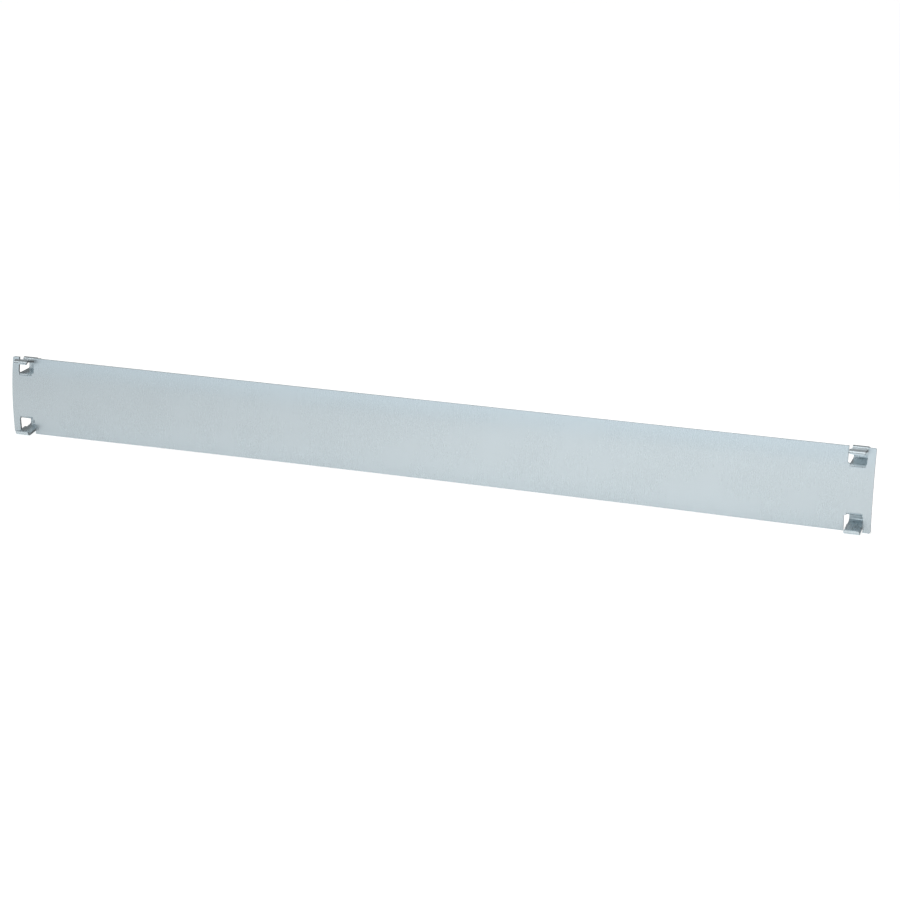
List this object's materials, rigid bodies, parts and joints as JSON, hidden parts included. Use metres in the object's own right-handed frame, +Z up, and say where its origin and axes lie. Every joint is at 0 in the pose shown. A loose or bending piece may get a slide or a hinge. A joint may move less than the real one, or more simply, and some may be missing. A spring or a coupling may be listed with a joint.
{
  "type": "rack blanking panel",
  "caption": "Snap-in blanking panel for a server rack: a crowned strip of bent sheet metal with spring clips and finger tabs in notches at its corners.",
  "frame": {"origin": "midway along the panel, at half its height, in the plane of the rack rails that its long edges press on", "axes": "+X along the panel to its right-hand end as seen from the room, +Y into the rack, +Z up"},
  "size_m": [0.4826, 0.0182, 0.0436],
  "materials": {
    "panel_metal": "satin zinc-plated sheet steel, blue-grey, brighter on the bent clips"
  },
  "bodies": {
    "root": {"blanking_panel": "panel_metal"}
  },
  "joints": []
}
